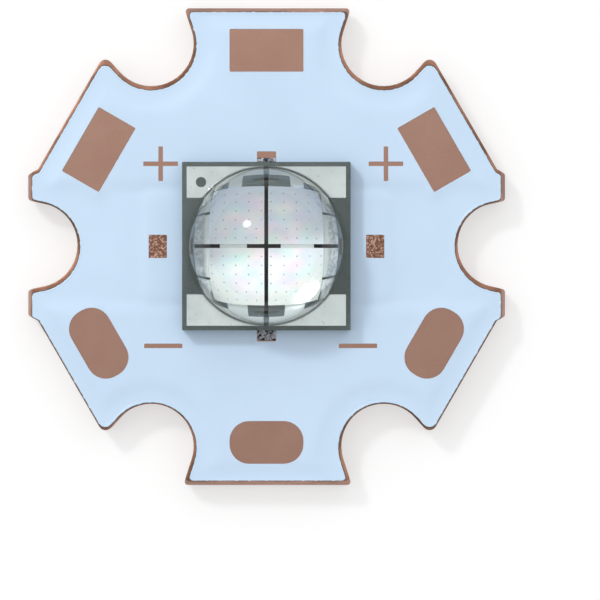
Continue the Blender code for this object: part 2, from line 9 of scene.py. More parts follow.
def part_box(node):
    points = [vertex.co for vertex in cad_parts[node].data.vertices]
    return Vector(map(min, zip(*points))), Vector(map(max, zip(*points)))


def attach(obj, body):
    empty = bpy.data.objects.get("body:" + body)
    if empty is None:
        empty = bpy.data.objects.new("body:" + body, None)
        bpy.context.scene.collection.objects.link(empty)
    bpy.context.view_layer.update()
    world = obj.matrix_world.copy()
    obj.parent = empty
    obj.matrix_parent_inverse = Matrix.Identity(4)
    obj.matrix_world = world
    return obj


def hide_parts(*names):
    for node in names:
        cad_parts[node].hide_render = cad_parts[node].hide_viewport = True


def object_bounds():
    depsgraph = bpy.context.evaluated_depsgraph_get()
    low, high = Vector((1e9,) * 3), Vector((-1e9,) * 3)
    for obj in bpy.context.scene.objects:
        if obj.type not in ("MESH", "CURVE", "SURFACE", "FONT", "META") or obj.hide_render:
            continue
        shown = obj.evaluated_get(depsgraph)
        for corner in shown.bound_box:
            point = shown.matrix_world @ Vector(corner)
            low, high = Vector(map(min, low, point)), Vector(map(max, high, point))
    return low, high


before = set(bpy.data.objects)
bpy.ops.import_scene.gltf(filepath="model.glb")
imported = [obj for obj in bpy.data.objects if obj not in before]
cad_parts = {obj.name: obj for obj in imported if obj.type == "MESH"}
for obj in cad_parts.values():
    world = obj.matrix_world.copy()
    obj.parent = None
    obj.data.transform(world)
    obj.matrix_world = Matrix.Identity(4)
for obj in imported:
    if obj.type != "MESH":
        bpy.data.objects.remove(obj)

# Looks of a star-shaped copper-core board that carries a domed four-chip power LED.
# Units are metres, +Z is up and +Y is the side of the positive pads.

MM = 0.001
CAD_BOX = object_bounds()
SHARP_EDGE = math.radians(40)  # faces that meet at more than this keep a sharp edge
rng = np.random.default_rng(20)

# Photograph's view
PHOTO_WIDTH = 600  # pixels
PIXELS_PER_METRE = 23.94 / MM  # on the face of the board
BOARD_CENTRE_PIXEL = (266.5, 246.4)
CAMERA_DISTANCE = 150 * MM  # above the board's face; the photograph doesn't give it
SENSOR_WIDTH = 36.0

# Light room
ROOM_LIGHT = 1.06  # factor on its light for matt faces; mirrors show it as it is
ROOM_AZIMUTH = math.radians(103)  # the side where it is brightest
ROOM_FRONT = 0.71  # brightness of the room on the other side
ROOM_BACK = 1.22  # and on the bright one
ROOM_TURN = (-0.03, 0.14)  # sines of the angles from the zenith between which one turns into the other
ROOM_FLOOR_LEVEL = 0.32  # brightness left at the horizon
KEY_AZIMUTH = math.radians(131)
KEY_ANGLE = math.radians(42.5)  # from the vertical
KEY_DISTANCE = 260 * MM
KEY_SIZE = 80 * MM
KEY_FADE = 3.0  # its brightness falls from the middle to the rim as (1 - r) to this power
KEY_MEAN = 2 / ((KEY_FADE + 1) * (KEY_FADE + 2))  # mean of that over the disc
KEY_LIGHT = 0.20  # brightness that it adds to a white face that lies flat
FLOOR_HALF = 1.2  # half the side of the white sheet
FLOOR_LIFT = 0.54  # its glow where it is looked at, also in a mirror or through the lens
FLOOR_ALBEDO_SEEN = 0.50  # share of the light that it returns there
FLOOR_ALBEDO = 0.80  # share that it returns to matt faces
FLOOR_DROP = 0.02 * MM  # below the object, so that the two faces don't meet

# Heights of the layers, from the frame
FOIL_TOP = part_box("anode_foil")[1].z
MASK_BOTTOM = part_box("solder_mask")[0].z
MASK_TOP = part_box("solder_mask")[1].z
MASK_THICKNESS = MASK_TOP - FOIL_TOP
MASK_SHEET_TOP = MASK_BOTTOM + MASK_THICKNESS  # where it lies on no copper
CERAMIC_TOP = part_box("ceramic_substrate")[1].z
CHIP_LOW, CHIP_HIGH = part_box("led_chip_upper_right")
LENS_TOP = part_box("silicone_lens")[1].z
LENS_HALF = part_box("silicone_lens")[1].x

# Solder mask: ink that drapes over the copper, with lips at its edges
STEP_REACH = 0.35 * MM  # half the width of the slope over the edge of each copper island
STEP_SHIFT = 0.06 * MM  # the middle of the slope lies this far outside that edge
MASK_POINT_SPACING = 0.17 * MM
LIP_WIDTH = 0.075 * MM
LIP_HEIGHT = 0.010 * MM
LIP_WANDER = 0.010 * MM
OPENING_LIP_WIDTH = 0.05 * MM
LIP_POINTS = 7  # across each lip
OPENING_LIP_SHARE = 0.5  # height of the lips round the openings, as a share of the edge's
SEAT = 0.006 * MM  # how far a thin piece sinks into what carries it

# Reading and walking the CAD edges
JOIN_DECIMALS = 4  # of a millimetre, to which points are rounded so that equal ones are found
LEVEL_TOLERANCE = 0.0005 * MM  # points nearer than this to a height lie on it
PATH_STEP = 0.06 * MM
PATH_POINTS = 12  # at least, on the smallest loop
WANDER_WAVES = 24  # sines in the noise along a path
WANDER_RATES = (105, 420)  # turns of such a sine round the path, fewer than the second number
PLAN_TOLERANCE = 1e-6  # mm, below which two points of the plan are one
POINTS_AT_ONCE = 2000  # in one batch of distances, to spare memory

# Silicone lens
DOME_RADIUS = 3.25 * MM
DOME_FILLET = 0.14 * MM
FILM_EDGE = 0.03 * MM
LENS_SINK = 0.02 * MM  # into the ceramic, so that no air is left under it
LENS_SIDES = 192
DOME_RINGS = 72
FILLET_RINGS = 8
FILM_EDGE_RINGS = 4

# Punched walls of the core
DRAG_STRETCH = 0.08  # width of a drag line as a share of its length
TORN_HEIGHT = (0.4 * MM, 0.8 * MM)  # torn below the first, burnished above the second
ROLLED_HEIGHT = (1.15 * MM, 1.3 * MM)  # scuffed where the punch rolled the upper edge over
PEDESTAL_HEIGHT = 0.5 * (MASK_BOTTOM + FOIL_TOP)  # of the core, only the pedestal is higher

# Crumpled plating beside the chips
CRUMPLE_START = 1.78 * MM  # from the package's middle line
CRUMPLE_REACH = 2.55 * MM  # from its centre
CRUMPLE_FADE = 0.1 * MM  # width over which it begins and ends

# Gaps between the chips, where the ceramic is painted dark as shade; sizes from the frame
CHIP_GAP_HALF = CHIP_LOW.x + SEAT  # the painted shade strip runs a little under the chips' edges
CHIP_GAP_OVERRUN = 0.5 * MM  # the gaps run on this far beyond the chips
CHIP_GAP_REACH = CHIP_HIGH.x + CHIP_GAP_OVERRUN

# Chips
VIA_RADIUS = 0.024 * MM
VIA_HEIGHT = 0.002 * MM
VIA_SIDES = 10
VIA_ROWS = 6
VIA_LOWER_ROWS = 2  # of those, the lowest, which stand closer together
VIA_ROW_PITCH = 0.2656 * MM
VIA_UPPER_COLUMNS = (0.08, 0.455, 0.83, 1.205, 1.58)  # mm from the chip's left edge
VIA_LOWER_COLUMNS = (0.23, 0.53, 0.83, 1.13, 1.43)
VIA_FIRST_ROW = 0.173 * MM  # from the chip's lower edge
TINT_FADE = (0.9 * MM, 2.0 * MM)  # the colours fade between these distances from the centre
TINT_SLANT = 0.8  # radians by which the patches lean
COOL_HALF = 1 * MM  # the tone turns from warm to cool over this far below and above the middle


# Small helpers

def linear(colour):
    """Linear colour of an sRGB hex value."""
    channels = (int(colour[i:i + 2], 16) / 255 for i in (1, 3, 5))
    return (*(c / 12.92 if c <= 0.04045 else ((c + 0.055) / 1.055) ** 2.4 for c in channels), 1.0)


def per_mm(size):
    """Pattern scale whose features are this many millimetres across."""
    return 1 / (size * MM)


def add(tree, kind, inputs=None, stops=(), **settings):
    """Adds a node: settings are its properties, inputs its values or the sockets linked to them.

    Stops are the places and hex colours of a colour ramp. Inputs that share a name go by number.
    In a Mix node 0 is the factor, 2 and 3 are the two numbers and 6 and 7 the two colours. In a
    Map Range of vectors 7 to 10 are From Min, From Max, To Min and To Max.
    """
    made = tree.nodes.new(kind)
    for name, value in settings.items():
        setattr(made, name, value)
    for socket, value in (inputs or {}).items():
        if isinstance(value, bpy.types.NodeSocket):
            tree.links.new(value, made.inputs[socket])
        else:
            made.inputs[socket].default_value = value
    if stops:
        elements = made.color_ramp.elements
        while len(elements) < len(stops):
            elements.new(0.5)
        for element, (place, colour) in zip(elements, stops):
            element.position = place
            element.color = linear(colour)
    return made


def new_finish(name, constants):
    """Material and its shader, with the shader's constant sockets set."""
    material = bpy.data.materials.new(name)
    material.use_nodes = True
    shader = material.node_tree.nodes["Principled BSDF"]
    for socket, value in constants.items():
        shader.inputs[socket].default_value = value
    return material, material.node_tree, shader


def drive(tree, shader, **sockets):
    """Links pattern outputs to the shader's sockets, named with underscores for spaces."""
    for name, output in sockets.items():
        tree.links.new(output, shader.inputs[name.replace("_", " ")])


def new_piece(name, points, faces, material, slot, replaces=()):
    """Mesh piece from points and faces, on the board's body."""
    data = bpy.data.meshes.new(name)
    data.from_pydata(np.asarray(points, float).tolist(), [], faces)
    data.validate()
    data.shade_smooth()
    data.set_sharp_from_angle(angle=SHARP_EDGE)
    data.materials.append(material)
    piece = bpy.data.objects.new(name, data)
    bpy.context.scene.collection.objects.link(piece)
    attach(piece, "root")
    if replaces:
        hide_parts(*replaces)
    return piece


def strip_faces(rows, columns, closed_rows=False, closed_columns=False):
    """Quads of a grid whose point (i, j) has the number i * columns + j."""
    i = np.arange(rows if closed_rows else rows - 1)
    j = np.arange(columns if closed_columns else columns - 1)
    i, j = (part.ravel() for part in np.meshgrid(i, j, indexing="ij"))
    after_i, after_j = (i + 1) % rows, (j + 1) % columns
    quads = np.stack([i * columns + j, after_i * columns + j,
                      after_i * columns + after_j, i * columns + after_j], axis=1)
    return quads.tolist()


# Paths along the edges of a CAD piece

def flat_rims(node, height):
    """Rims of a node's upward faces at one height, each a loop with the material on its left.

    The directed edges of those triangles that have no partner running the other way are the
    rim, and each loop is walked from edge to edge.
    """
    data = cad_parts[node].data
    corners = np.empty(len(data.vertices) * 3)
    data.vertices.foreach_get("co", corners)
    corners = corners.reshape(-1, 3)
    triangles = np.empty(len(data.polygons) * 3, int)
    data.polygons.foreach_get("vertices", triangles)
    triangles = triangles.reshape(-1, 3)
    level = np.abs(corners[triangles][:, :, 2] - height).max(axis=1) < LEVEL_TOLERANCE
    places, names = np.unique(np.round(corners[:, :2] / MM, JOIN_DECIMALS), axis=0, return_inverse=True)
    names = names.reshape(-1)[triangles[level]]
    a, b, c = (places[names[:, k]] for k in range(3))
    turn = np.cross(b - a, c - a)
    names = names[turn > 0]
    starts, ends = names.ravel(), np.roll(names, -1, axis=1).ravel()
    forward, backward = starts * len(places) + ends, ends * len(places) + starts
    rim = ~np.isin(forward, backward)
    following = dict(zip(starts[rim].tolist(), ends[rim].tolist()))
    loops = []
    while following:
        point, loop = next(iter(following)), []
        while point in following:
            loop.append(point)
            point = following.pop(point)
        loops.append(places[loop] * MM)
    return loops


def loop_area(loop):
    """Signed area of a closed loop, positive when it runs anticlockwise."""
    ahead = np.roll(loop, -1, axis=0)
    return 0.5 * float(np.sum(loop[:, 0] * ahead[:, 1] - loop[:, 1] * ahead[:, 0]))


def even_path(loop, step=PATH_STEP):
    """Closed loop read again at even steps along its length."""
    closed = np.vstack([loop, loop[:1]])
    travelled = np.concatenate([[0.0], np.cumsum(np.linalg.norm(np.diff(closed, axis=0), axis=1))])
    count = max(PATH_POINTS, int(travelled[-1] / step))
    stops = np.linspace(0.0, travelled[-1], count, endpoint=False)
    return np.stack([np.interp(stops, travelled, closed[:, k]) for k in (0, 1)], axis=1)


def wander(count, strength):
    """Smooth closed noise along a path: a sum of sines with random rates, sizes and phases."""
    turn = np.linspace(0, 2 * math.pi, count, endpoint=False)
    rates = rng.integers(*WANDER_RATES, WANDER_WAVES)
    sizes = rng.normal(0, 1, WANDER_WAVES) / math.sqrt(WANDER_WAVES)
    phases = rng.uniform(0, 2 * math.pi, WANDER_WAVES)
    return strength * (sizes * np.sin(np.outer(turn, rates) + phases)).sum(axis=1)


def carried_band(path, offsets, heights):
    """Points of a closed section carried along a closed path.

    Point (i, j) is path point i, moved by offset (i, j) along the outward normal, at height
    (i, j). The normal is the path's direction, the difference of its neighbours, turned right.
    """
    along = np.roll(path, -1, axis=0) - np.roll(path, 1, axis=0)
    along /= np.linalg.norm(along, axis=1, keepdims=True)
    outward = np.stack([along[:, 1], -along[:, 0]], axis=1)
    offsets = np.broadcast_to(offsets, (len(path), offsets.shape[-1]))
    heights = np.broadcast_to(heights, offsets.shape)
    plan = path[:, None, :] + offsets[:, :, None] * outward[:, None, :]
    points = np.concatenate([plan, heights[:, :, None]], axis=2)
    return points.reshape(-1, 3), strip_faces(*offsets.shape, closed_rows=True, closed_columns=True)


def joined(parts):
    """Points and faces of several parts as one mesh."""
    points, faces, start = [], [], 0
    for part_points, part_faces in parts:
        points.append(part_points)
        faces += (np.asarray(part_faces) + start).tolist()
        start += len(part_points)
    return np.vstack(points), faces


# Pieces of the solder mask

def mask_plan():
    """Loops of the mask in plan: the outlines of its raised parts, its edge and its openings."""
    raised = flat_rims("solder_mask", MASK_TOP)
    islands = [loop for loop in raised if loop_area(loop) > 0]
    openings = [loop for loop in raised if loop_area(loop) < 0]
    edge = [loop for loop in flat_rims("solder_mask", MASK_SHEET_TOP) if loop_area(loop) > 0]
    return islands, edge, openings


def segments(loops):
    """Starts and ends of every segment of several closed loops."""
    return np.vstack(loops), np.vstack([np.roll(loop, -1, axis=0) for loop in loops])


def distance_to(points, loops):
    """Distance of plan points from closed loops, negative inside them.

    The nearest point of a segment is its start plus its run times the point's share along it,
    held between 0 and 1. A point is inside when the ray from it towards +X crosses an odd
    number of segments.
    """
    starts, ends = segments(loops)
    run = ends - starts
    gaps = []
    for part in np.array_split(points, 1 + len(points) // POINTS_AT_ONCE):
        offset = part[:, None] - starts
        share = np.clip((offset * run).sum(axis=2) / (run ** 2).sum(axis=1), 0, 1)
        gap = np.linalg.norm(offset - share[:, :, None] * run, axis=2).min(axis=1)
        spans = (starts[:, 1] > part[:, 1:]) != (ends[:, 1] > part[:, 1:])
        slope = run[:, 0] / np.where(run[:, 1] == 0, 1, run[:, 1])
        crosses = spans & (offset[:, :, 0] < slope * offset[:, :, 1])
        gaps.append(np.where(crosses.sum(axis=1) % 2 == 1, -gap, gap))
    return np.concatenate(gaps)


def mask_height(points, islands):
    """Height of the ink's face: the smooth step 3 t^2 - 2 t^3 across each island's edge."""
    t = np.clip((distance_to(points, islands) - STEP_SHIFT) / STEP_REACH / 2 + 0.5, 0, 1)
    return MASK_TOP - (MASK_TOP - MASK_SHEET_TOP) * t * t * (3 - 2 * t)


def divided(loop, step):
    """Closed loop with points added along its segments, none further apart than the step."""
    run = np.roll(loop, -1, axis=0) - loop
    counts = np.ceil(np.linalg.norm(run, axis=1) / step).astype(int)
    segment = np.repeat(np.arange(len(loop)), counts)
    place = np.arange(len(segment)) - np.repeat(np.cumsum(counts) - counts, counts)
    return loop[segment] + run[segment] * (place / counts[segment])[:, None]


def draped_mask(material):
    """Layer of ink of one thickness, draped over the copper islands.

    Its plan is a Delaunay triangulation of the mask's own outline and openings and of evenly
    spaced points between them. Each point is lifted to the ink's face and once more to its
    underside, and walls join the two along every rim.
    """
    islands, edge, openings = mask_plan()
    rims = [divided(loop, MASK_POINT_SPACING) for loop in edge + openings]
    count = int(2 * (CAD_BOX[1][0] + MASK_POINT_SPACING) / MASK_POINT_SPACING)
    steps = (np.arange(count) - (count - 1) / 2) * MASK_POINT_SPACING
    free = np.stack(np.meshgrid(steps, steps), axis=2)
    free[::2, :, 0] += MASK_POINT_SPACING / 2
    free = free.reshape(-1, 2)
    free = free[distance_to(free, edge + openings) < -MASK_POINT_SPACING / 2]
    plan = np.vstack([*rims, free])
    starts = np.cumsum([0] + [len(rim) for rim in rims])
    chains = []
    for first, rim in zip(starts, rims):
        number = np.arange(len(rim))
        chains.append(first + np.stack([number, (number + 1) % len(rim)], axis=1))
    cut = delaunay_2d_cdt([Vector(p) for p in plan / MM], np.vstack(chains).tolist(), [], 0,
                          PLAN_TOLERANCE, False)
    plan = np.array([tuple(p) for p in cut[0]]) * MM
    triangles = np.array(cut[2])
    corners = plan[triangles]
    triangles = triangles[distance_to(corners.mean(axis=1), edge + openings) < 0]
    a, b, c = (plan[triangles[:, k]] for k in range(3))
    turned = (b - a)[:, 0] * (c - a)[:, 1] < (b - a)[:, 1] * (c - a)[:, 0]
    triangles[turned] = triangles[turned][:, ::-1]
    ahead = np.roll(triangles, -1, axis=1)
    forward, backward = triangles * len(plan) + ahead, ahead * len(plan) + triangles
    on_rim = ~np.isin(forward, backward)
    begin, end = triangles[on_rim], ahead[on_rim]
    walls = np.stack([begin + len(plan), end + len(plan), end, begin], axis=1)
    top = mask_height(plan, islands)[:, None]
    points = np.vstack([np.hstack([plan, top]), np.hstack([plan, top - MASK_THICKNESS])])
    faces = triangles.tolist() + (triangles[:, ::-1] + len(plan)).tolist() + walls.tolist()
    new_piece("draped_mask", points, faces, material, "white_solder_mask", replaces=("solder_mask",))


def mask_lips(material):
    """Rounded lips of ink at the board's edge, a little uneven, and round every opening.

    The section is a low half wave of sine on the ink's face, whose outer foot wanders along
    the board's edge.
    """
    islands, edge, openings = mask_plan()
    across = np.linspace(0, 1, LIP_POINTS)
    wave = np.sin(math.pi * across)
    share = np.concatenate([across, [1, 0]])
    parts = []
    for loop in edge + openings:
        outer = loop_area(loop) > 0
        path = even_path(loop)
        width = LIP_WIDTH if outer else OPENING_LIP_WIDTH
        reach = wander(len(path), LIP_WANDER if outer else 0)[:, None]
        offsets = -width + (width + np.maximum(reach, -width / 2)) * share
        crown = LIP_HEIGHT * (1 if outer else OPENING_LIP_SHARE) * wave
        heights = mask_height(path, islands)[:, None] + np.concatenate([crown, [-SEAT, -SEAT]])
        parts.append(carried_band(path, offsets, heights))
    new_piece("mask_lips", *joined(parts), material, "white_solder_mask")


# Pieces of the package

def silicone_dome(material):
    """Clear silicone: a square film with a dome on it.

    Each ring of points is a profile radius swept round the axis. The film's rings are stretched
    to a square, radius / max(|cos|, |sin|). The fillet and the dome are arcs that meet at a
    common tangent, and both poles are single points.
    """
    film_top = LENS_TOP - DOME_RADIUS
    turn = np.linspace(0, 2 * math.pi, LENS_SIDES, endpoint=False)
    square = 1 / np.maximum(np.abs(np.cos(turn)), np.abs(np.sin(turn)))
    bottom = CERAMIC_TOP - LENS_SINK
    rings = [(LENS_HALF * square, bottom), (LENS_HALF * square, film_top - FILM_EDGE)]
    for swing in np.linspace(0, math.pi / 2, FILM_EDGE_RINGS + 1)[1:]:
        reach = LENS_HALF - FILM_EDGE * (1 - math.cos(swing))
        rings.append((reach * square, film_top - FILM_EDGE * (1 - math.sin(swing))))
    tangent = math.asin(DOME_FILLET / (DOME_RADIUS + DOME_FILLET))
    fillet_centre = (DOME_RADIUS + DOME_FILLET) * math.cos(tangent)
    circle = np.ones_like(turn)
    for swing in np.linspace(0, math.pi / 2 - tangent, FILLET_RINGS + 1)[:-1]:
        radius = fillet_centre - DOME_FILLET * math.sin(swing)
        rings.append((radius * circle, film_top + DOME_FILLET * (1 - math.cos(swing))))
    for rise in np.linspace(tangent, math.pi / 2, DOME_RINGS + 1)[:-1]:
        rings.append((DOME_RADIUS * math.cos(rise) * circle, film_top + DOME_RADIUS * math.sin(rise)))
    radii = np.array([radius for radius, _ in rings])
    levels = np.array([level for _, level in rings])
    points = np.stack([radii * np.cos(turn), radii * np.sin(turn),
                       np.broadcast_to(levels[:, None], radii.shape)], axis=2).reshape(-1, 3)
    faces = strip_faces(len(rings), LENS_SIDES, closed_columns=True)
    faces = [face[::-1] for face in faces]
    low_pole, top_pole = len(points), len(points) + 1
    j = np.arange(LENS_SIDES)
    after = (j + 1) % LENS_SIDES
    last = (len(rings) - 1) * LENS_SIDES
    faces += np.stack([np.full_like(j, low_pole), after, j], axis=1).tolist()
    faces += np.stack([np.full_like(j, top_pole), last + j, last + after], axis=1).tolist()
    points = np.vstack([points, [(0, 0, bottom), (0, 0, LENS_TOP)]])
    new_piece("silicone_dome", points, faces, material, "clear_silicone", replaces=("silicone_lens",))


def chip_vias(material):
    """Rows of small contact points on each chip: flat discs at every place of the pattern.

    A disc is a ring of points, the radius times (cos, sin) round its centre, once just under the
    chip's face and once just above it, closed by a side and two flat ends.
    """
    places = []
    for row in range(VIA_ROWS):
        columns = VIA_LOWER_COLUMNS if row < VIA_LOWER_ROWS else VIA_UPPER_COLUMNS
        places += [(column * MM, VIA_FIRST_ROW + row * VIA_ROW_PITCH) for column in columns]
    corners = [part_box(f"led_chip_{place}_{side}")[0] for place in ("upper", "lower")
               for side in ("left", "right")]
    centres = np.array([(corner.x, corner.y) for corner in corners])[:, None] + np.array(places)[None]
    centres = centres.reshape(-1, 2)
    turn = np.linspace(0, 2 * math.pi, VIA_SIDES, endpoint=False)
    ring = VIA_RADIUS * np.stack([np.cos(turn), np.sin(turn)], axis=1)
    plan = centres[:, None] + ring[None]
    heights = np.array([CHIP_HIGH.z - SEAT / 2, CHIP_HIGH.z + VIA_HEIGHT])
    plan = np.repeat(plan[:, None], 2, axis=1)
    tall = np.broadcast_to(heights[None, :, None, None], (*plan.shape[:3], 1))
    points = np.concatenate([plan, tall], axis=3).reshape(-1, 3)
    j = np.arange(VIA_SIDES)
    after = (j + 1) % VIA_SIDES
    side = np.stack([j, after, VIA_SIDES + after, VIA_SIDES + j], axis=1)
    starts = np.arange(len(centres)) * 2 * VIA_SIDES
    faces = (starts[:, None, None] + side[None]).reshape(-1, 4).tolist()
    faces += (starts[:, None] + j[::-1][None]).tolist()
    faces += (starts[:, None] + VIA_SIDES + j[None]).tolist()
    new_piece("chip_vias", points, faces, material, "thin_film_chip")


# Finishes

def punched_copper():
    """Copper plate, punched and V-scored: a mottled face, walls dragged along the punch's travel.

    The walls are brighter above, where the punch burnished them, and duller where they tore, and
    their rolled upper edge is scuffed. The raised pedestal, which shows in two small windows, is
    etched and has a coarse grain. Lines and grain are drawn coarse enough to show.
    """
    material, tree, shader = new_finish("punched_copper", {"Metallic": 1.0})
    place = add(tree, "ShaderNodeTexCoord").outputs["Object"]
    dragged = add(tree, "ShaderNodeMapping", {"Vector": place, "Scale": (1.0, 1.0, DRAG_STRETCH)}).outputs[0]
    grain = add(tree, "ShaderNodeTexNoise",
                {"Vector": dragged, "Scale": per_mm(0.05), "Detail": 2.0}).outputs["Fac"]
    blotch = add(tree, "ShaderNodeTexNoise",
                 {"Vector": place, "Scale": per_mm(2.2), "Detail": 2.0}).outputs["Fac"]
    height = add(tree, "ShaderNodeSeparateXYZ", {0: place}).outputs["Z"]
    burnish = add(tree, "ShaderNodeMapRange",
                  {"Value": height, "From Min": TORN_HEIGHT[0], "From Max": TORN_HEIGHT[1],
                   "To Min": -0.06, "To Max": 0.04}).outputs[0]
    patches = add(tree, "ShaderNodeMath", {0: grain, 1: blotch}, operation="ADD").outputs[0]
    mixed = add(tree, "ShaderNodeMath", {0: patches, 1: burnish}, operation="ADD")
    shade = add(tree, "ShaderNodeMapRange", {"Value": mixed.outputs[0], "From Min": 0.75, "From Max": 1.25})
    colour = add(tree, "ShaderNodeValToRGB", {"Fac": shade.outputs[0]},
                 stops=((0.0, "#8a6757"), (0.5, "#a07867"), (1.0, "#bd9583"))).outputs["Color"]
    scuffs = add(tree, "ShaderNodeTexNoise",
                 {"Vector": place, "Scale": per_mm(1.3), "Detail": 3.0}).outputs["Fac"]
    scuffed = add(tree, "ShaderNodeValToRGB", {"Fac": scuffs},
                  stops=((0.36, "#7f5b48"), (0.5, "#a07663"), (0.64, "#bf8b73"))).outputs["Color"]
    rolled = add(tree, "ShaderNodeMapRange",
                 {"Value": height, "From Min": ROLLED_HEIGHT[0], "From Max": ROLLED_HEIGHT[1]}).outputs[0]
    colour = add(tree, "ShaderNodeMix",
                 {0: rolled, 6: colour, 7: scuffed}, data_type="RGBA").outputs["Result"]
    etched = add(tree, "ShaderNodeMath", {0: height, 1: PEDESTAL_HEIGHT}, operation="GREATER_THAN").outputs[0]
    pits = add(tree, "ShaderNodeTexNoise",
               {"Vector": place, "Scale": per_mm(0.08), "Detail": 2.0}).outputs["Fac"]
    coarse = add(tree, "ShaderNodeValToRGB", {"Fac": pits},
                 stops=((0.36, "#755446"), (0.52, "#8f6959"), (0.66, "#cfab9a"))).outputs["Color"]
    colour = add(tree, "ShaderNodeMix", {0: etched, 6: colour, 7: coarse}, data_type="RGBA").outputs["Result"]
    rough = add(tree, "ShaderNodeMapRange",
                {"Value": grain, "From Min": 0.35, "From Max": 0.65, "To Min": 0.34, "To Max": 0.46})
    bump = add(tree, "ShaderNodeBump", {"Height": grain, "Strength": 0.35, "Distance": 0.005 * MM})
    drive(tree, shader, Base_Color=colour, Roughness=rough.outputs[0], Normal=bump.outputs[0])
    return material


def bare_foil():
    """Etched copper foil on the pads: satin, its fine even grain drawn coarse enough to show."""
    material, tree, shader = new_finish("etched_copper_foil", {"Metallic": 1.0, "Roughness": 0.26})
    place = add(tree, "ShaderNodeTexCoord").outputs["Object"]
    grain = add(tree, "ShaderNodeTexNoise",
                {"Vector": place, "Scale": per_mm(0.05), "Detail": 3.0}).outputs["Fac"]
    cloud = add(tree, "ShaderNodeTexNoise",
                {"Vector": place, "Scale": per_mm(1.4), "Detail": 2.0}).outputs["Fac"]
    mixed = add(tree, "ShaderNodeMath", {0: grain, 1: cloud}, operation="ADD")
    shade = add(tree, "ShaderNodeMapRange", {"Value": mixed.outputs[0], "From Min": 0.7, "From Max": 1.3})
    colour = add(tree, "ShaderNodeValToRGB", {"Fac": shade.outputs[0]},
                 stops=((0.0, "#a78273"), (1.0, "#ae8a7b"))).outputs["Color"]
    bump = add(tree, "ShaderNodeBump", {"Height": grain, "Strength": 0.08, "Distance": 0.004 * MM})
    drive(tree, shader, Base_Color=colour, Normal=bump.outputs[0])
    return material


def white_mask():
    """Screen-printed white solder mask: cool white, satin, with a faint orange peel."""
    material, tree, shader = new_finish("white_solder_mask", {"IOR": 1.5, "Roughness": 0.32})
    place = add(tree, "ShaderNodeTexCoord").outputs["Object"]
    cloud = add(tree, "ShaderNodeTexNoise",
                {"Vector": place, "Scale": per_mm(2.6), "Detail": 2.0}).outputs["Fac"]
    colour = add(tree, "ShaderNodeValToRGB", {"Fac": cloud},
                 stops=((0.3, "#cbe2f9"), (0.7, "#cfe6fd"))).outputs["Color"]
    peel = add(tree, "ShaderNodeTexNoise",
               {"Vector": place, "Scale": per_mm(0.35), "Detail": 2.0}).outputs["Fac"]
    bump = add(tree, "ShaderNodeBump", {"Height": peel, "Strength": 0.12, "Distance": 0.02 * MM})
    drive(tree, shader, Base_Color=colour, Normal=bump.outputs[0])
    return material


def filled_epoxy():
    """Ceramic-filled epoxy dielectric: dull grey, its pale filler drawn coarse enough to show."""
    material, tree, shader = new_finish("filled_epoxy_dielectric", {"IOR": 1.55, "Roughness": 0.6})
    place = add(tree, "ShaderNodeTexCoord").outputs["Object"]
    grains = add(tree, "ShaderNodeTexVoronoi", {"Vector": place, "Scale": per_mm(0.05)}).outputs["Distance"]
    colour = add(tree, "ShaderNodeValToRGB", {"Fac": grains},
                 stops=((0.0, "#9a9388"), (0.35, "#5b554d"), (1.0, "#47423c"))).outputs["Color"]
    drive(tree, shader, Base_Color=colour)
    return material


def reflowed_solder():
    """Reflowed solder: bright grey metal with frozen ripples, whose colour runs from near black to grey as
    painted dark reflections and shade in them.
    """
    material, tree, shader = new_finish("reflowed_solder", {"Metallic": 1.0, "Roughness": 0.28})
    place = add(tree, "ShaderNodeTexCoord").outputs["Object"]
    ripple_and_painted_shade = add(tree, "ShaderNodeTexNoise", {"Vector": place, "Scale": per_mm(0.16), "Detail": 3.0,
                                              "Distortion": 0.8}).outputs["Fac"]
    # Painted reflection and shade: the ripples are coloured from near black to grey, standing in for the dark
    # reflections on the shiny solder.
    colour = add(tree, "ShaderNodeValToRGB", {"Fac": ripple_and_painted_shade},
                 stops=((0.40, "#1c1e22"), (0.62, "#a9acb4"))).outputs["Color"]
    bump = add(tree, "ShaderNodeBump", {"Height": ripple_and_painted_shade, "Strength": 0.8, "Distance": 0.04 * MM})
    drive(tree, shader, Base_Color=colour, Normal=bump.outputs[0])
    return material


def plated_contact():
    """Gold-flashed nickel contact: warm pale metal, its fine grain drawn coarse enough to show."""
    material, tree, shader = new_finish("gold_flashed_contact", {"Metallic": 1.0, "Roughness": 0.3})
    place = add(tree, "ShaderNodeTexCoord").outputs["Object"]
    grain = add(tree, "ShaderNodeTexNoise",
                {"Vector": place, "Scale": per_mm(0.06), "Detail": 2.0}).outputs["Fac"]
    colour = add(tree, "ShaderNodeValToRGB", {"Fac": grain},
                 stops=((0.3, "#cdb98a"), (0.7, "#dccb9f"))).outputs["Color"]
    drive(tree, shader, Base_Color=colour)
    return material


